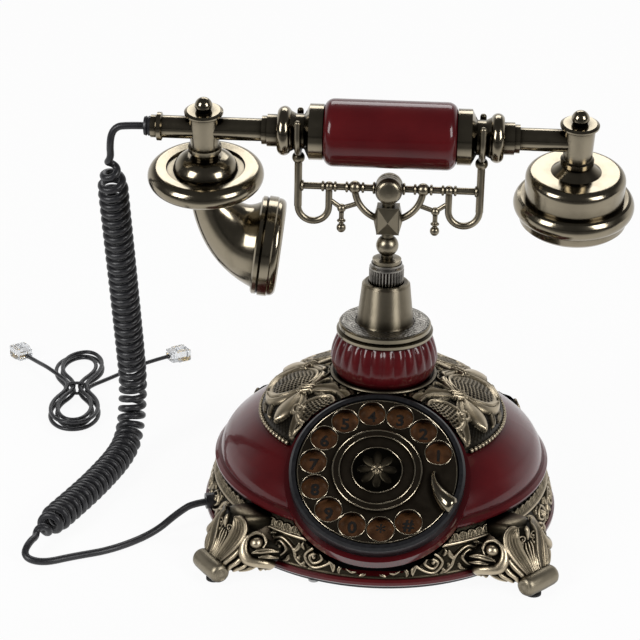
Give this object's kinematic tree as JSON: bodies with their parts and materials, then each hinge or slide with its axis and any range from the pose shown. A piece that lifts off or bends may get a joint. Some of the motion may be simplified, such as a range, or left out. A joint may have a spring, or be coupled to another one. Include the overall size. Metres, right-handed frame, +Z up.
{
  "type": "ornate cradle telephone",
  "caption": "Antique-style table telephone with a rotary dial, a lacquered dome on scroll feet, a forked cradle and a handset with horn mouthpiece and round earpiece.",
  "frame": {"origin": "middle of the foot print, on the table", "axes": "+Z up, handset along X with the earpiece on +X, dial faces -Y"},
  "size_m": [0.3459, 0.2773, 0.22],
  "materials": {
    "red_lacquer": "polished burgundy lacquer",
    "antique_bronze": "antique bronze, dark in the hollows and bright on the edges",
    "dark_bronze": "dark bronze with polished hole rims",
    "steel": "plain",
    "black_plastic": "satin black",
    "amber_plate": "amber brown",
    "board_green": "solder mask",
    "pad_rubber": "matt",
    "cord_rubber": "satin black",
    "tie_wire": "coated wire tie",
    "clear_plug": "clear"
  },
  "bodies": {
    "base": {"base_plate": "black_plastic", "base_plate_screws": "steel", "lower_rim": "red_lacquer", "frieze_skirt": "antique_bronze", "line_jack": "black_plastic", "base_grommet": "cord_rubber", "dome_shell": "red_lacquer", "shoulder_collar": "antique_bronze", "neck_ring": "antique_bronze", "fluted_collar": "red_lacquer", "neck_flange": "antique_bronze", "column_cone": "antique_bronze", "column_tube": "steel", "tube_nut": "steel", "hook_spring": "steel", "hook_switch": "black_plastic", "circuit_board": "board_green", "board_posts": "black_plastic", "loudspeaker": "black_plastic", "dial_bezel": "black_plastic", "number_plate": "amber_plate", "dial_can": "steel", "dial_return_spring": "steel", "pulse_sensor": "black_plastic", "finger_stop": "antique_bronze", "foot_front_right": "antique_bronze", "foot_front_left": "antique_bronze", "foot_rear_left": "antique_bronze", "foot_rear_right": "antique_bronze", "foot_pads": "pad_rubber", "handset_cord": "cord_rubber", "line_cord": "cord_rubber", "line_plugs": "clear_plug", "cord_tie": "tie_wire"},
    "dial": {"finger_wheel": "dark_bronze", "dial_shaft": "steel", "pulse_disc": "black_plastic"},
    "cradle": {"hook_plunger": "antique_bronze", "cradle_column": "antique_bronze", "cradle_frame": "antique_bronze", "fork_left": "antique_bronze", "fork_right": "antique_bronze"},
    "handset": {"handset_grip": "red_lacquer", "grip_tube": "steel", "neck_left": "antique_bronze", "neck_right": "antique_bronze", "arm_left": "antique_bronze", "arm_right": "antique_bronze", "post_left": "antique_bronze", "post_right": "antique_bronze", "handset_grommet": "cord_rubber", "mouth_saucer": "antique_bronze", "mouth_horn": "antique_bronze", "mouth_cap": "antique_bronze", "microphone_capsule": "black_plastic", "ear_shell": "antique_bronze", "ear_cap": "antique_bronze", "receiver_capsule": "black_plastic"}
  },
  "joints": [
    {"name": "handset_lift", "type": "slide", "parent": "base", "child": "handset", "axis": [0, 0, 1], "range_m": [0, 0.1], "deforming": ["handset_cord"]},
    {"name": "hook_travel", "type": "slide", "parent": "base", "child": "cradle", "axis": [0, 0, 1], "range_m": [0, 0.004], "deforming": ["hook_spring"]},
    {"name": "dial_spin", "type": "hinge", "parent": "base", "child": "dial", "pos_m": [0, -0.064, 0.056], "axis": [0, 0.5736, -0.8192], "range_deg": [0, 295], "stiffness_Nm_per_rad": 0.008, "springref_deg": -34.38}
  ],
  "couplings": [
    {"joint": "hook_travel", "follows": "handset_lift", "ratio": 0.04}
  ]
}
